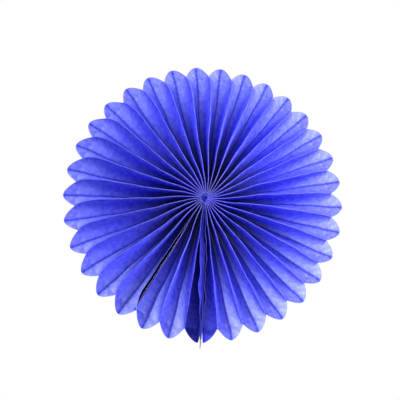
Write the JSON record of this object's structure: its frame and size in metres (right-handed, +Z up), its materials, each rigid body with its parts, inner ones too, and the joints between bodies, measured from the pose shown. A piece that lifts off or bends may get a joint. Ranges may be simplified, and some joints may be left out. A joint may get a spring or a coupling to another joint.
{
  "type": "tissue paper fan",
  "caption": "Round pleated tissue paper fan with a scalloped rim, gathered at a pinched hub and closed at a seam on two end cards.",
  "frame": {"origin": "middle of the pin hole through the hub, halfway through the fan's depth", "axes": "+Z up, away from the seam; -Y out of the fan's front; +X to the right as seen from the front"},
  "size_m": [0.2996, 0.027, 0.3054],
  "materials": {
    "tissue": "matte",
    "card": "matte",
    "tape": "satin"
  },
  "bodies": {
    "root": {"leaf_01": "tissue", "leaf_02": "tissue", "leaf_03": "tissue", "leaf_04": "tissue", "leaf_05": "tissue", "leaf_06": "tissue", "leaf_07": "tissue", "leaf_08": "tissue", "leaf_09": "tissue", "leaf_10": "tissue", "leaf_11": "tissue", "leaf_12": "tissue", "leaf_13": "tissue", "leaf_14": "tissue", "leaf_15": "tissue", "leaf_16": "tissue", "leaf_17": "tissue", "leaf_18": "tissue", "leaf_19": "tissue", "leaf_20": "tissue", "leaf_21": "tissue", "leaf_22": "tissue", "leaf_23": "tissue", "leaf_24": "tissue", "leaf_25": "tissue", "leaf_26": "tissue", "leaf_27": "tissue", "leaf_28": "tissue", "leaf_29": "tissue", "leaf_30": "tissue", "leaf_31": "tissue", "leaf_32": "tissue", "leaf_33": "tissue", "leaf_34": "tissue", "spine": "tissue", "end_card_left": "card", "end_card_right": "card", "adhesive_tape": "tape"}
  },
  "joints": []
}
